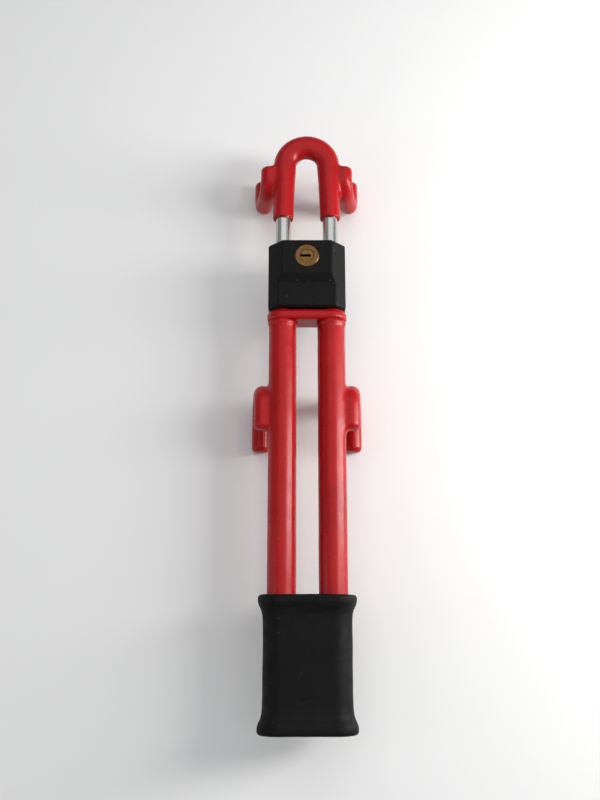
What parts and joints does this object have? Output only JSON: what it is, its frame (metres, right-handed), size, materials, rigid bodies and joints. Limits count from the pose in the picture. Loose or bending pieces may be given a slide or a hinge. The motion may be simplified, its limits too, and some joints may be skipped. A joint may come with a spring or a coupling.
{
  "type": "steering wheel lock",
  "caption": "Twin-bar steering wheel lock: a hooked U shackle slides out of two hooked tubes through a keyed housing, with a flared rubber grip.",
  "frame": {"origin": "bottom centre of the object's box: the backs of the four hook prongs stand on Z = 0", "axes": "+Z out of the keyhole face, +Y along the lock from the grip towards the U end, +X to the right of the keyhole"},
  "size_m": [0.108, 0.576, 0.0808],
  "materials": {
    "chrome_bar": "bright chrome with fine drawing lines",
    "red_vinyl": "satin dipped vinyl",
    "bare_steel": "bare drawn steel",
    "zinc_steel": "zinc plated",
    "block_steel": "machined steel",
    "bush_nylon": "moulded nylon",
    "grip_rubber": "matt fine-grained rubber",
    "black_cover": "matt powder coat with a fine speckle",
    "brass_shell": "dull turned brass",
    "brass_plug": "turned brass",
    "pin_brass": "turned brass",
    "spring_steel": "bright spring wire"
  },
  "bodies": {
    "lock_body": {"tube_left": "bare_steel", "tube_right": "bare_steel", "tube_hook_left": "bare_steel", "tube_hook_right": "bare_steel", "handle_end_plate": "bare_steel", "tube_sleeve_left": "red_vinyl", "tube_sleeve_right": "red_vinyl", "tube_hook_skin_left": "red_vinyl", "tube_hook_skin_right": "red_vinyl", "tube_collar": "red_vinyl", "handle_grip": "grip_rubber", "front_cover": "black_cover", "rear_cover": "black_cover", "lock_block": "block_steel", "bolt_plate": "block_steel", "bar_bush_upper_left": "bush_nylon", "bar_bush_upper_right": "bush_nylon", "bar_bush_lower_left": "bush_nylon", "bar_bush_lower_right": "bush_nylon", "rear_cover_screws": "zinc_steel", "front_cover_screws": "zinc_steel", "bolt_plate_screws": "zinc_steel", "cylinder_grub_screw": "zinc_steel", "cylinder_shell": "brass_shell", "pin_chamber_strip": "brass_shell", "driver_pins": "pin_brass", "pin_springs": "spring_steel", "bolt_spring_left": "spring_steel", "bolt_spring_right": "spring_steel"},
    "shackle": {"shackle_bar": "chrome_bar", "shackle_sleeve": "red_vinyl", "shackle_hook_skin_left": "red_vinyl", "shackle_hook_skin_right": "red_vinyl", "shackle_hook_left": "bare_steel", "shackle_hook_right": "bare_steel", "bar_stop_left": "bare_steel", "bar_stop_right": "bare_steel", "bar_stop_screws": "zinc_steel"},
    "key_plug": {"cylinder_plug": "brass_plug", "key_pins": "pin_brass", "plug_clip": "zinc_steel", "bolt_cam": "block_steel"},
    "bolt_right": {"bolt_right": "block_steel"},
    "bolt_left": {"bolt_left": "block_steel"}
  },
  "joints": [
    {"name": "shackle_slide", "type": "slide", "parent": "lock_body", "child": "shackle", "axis": [0, 1, 0], "range_m": [-0.02, 0.24]},
    {"name": "plug_turn", "type": "hinge", "parent": "lock_body", "child": "key_plug", "pos_m": [0, 0.147, 0.0554], "axis": [0, 0, 1], "range_deg": [0, 90]},
    {"name": "bolt_right_slide", "type": "slide", "parent": "lock_body", "child": "bolt_right", "axis": [1, 0, 0], "range_m": [0, 0.0046], "deforming": ["bolt_spring_right"]},
    {"name": "bolt_left_slide", "type": "slide", "parent": "lock_body", "child": "bolt_left", "axis": [-1, 0, 0], "range_m": [0, 0.0046], "deforming": ["bolt_spring_left"]}
  ],
  "couplings": [
    {"joint": "bolt_right_slide", "follows": "plug_turn", "m_per_rad": 0.002881},
    {"joint": "bolt_left_slide", "follows": "plug_turn", "m_per_rad": 0.002881}
  ]
}
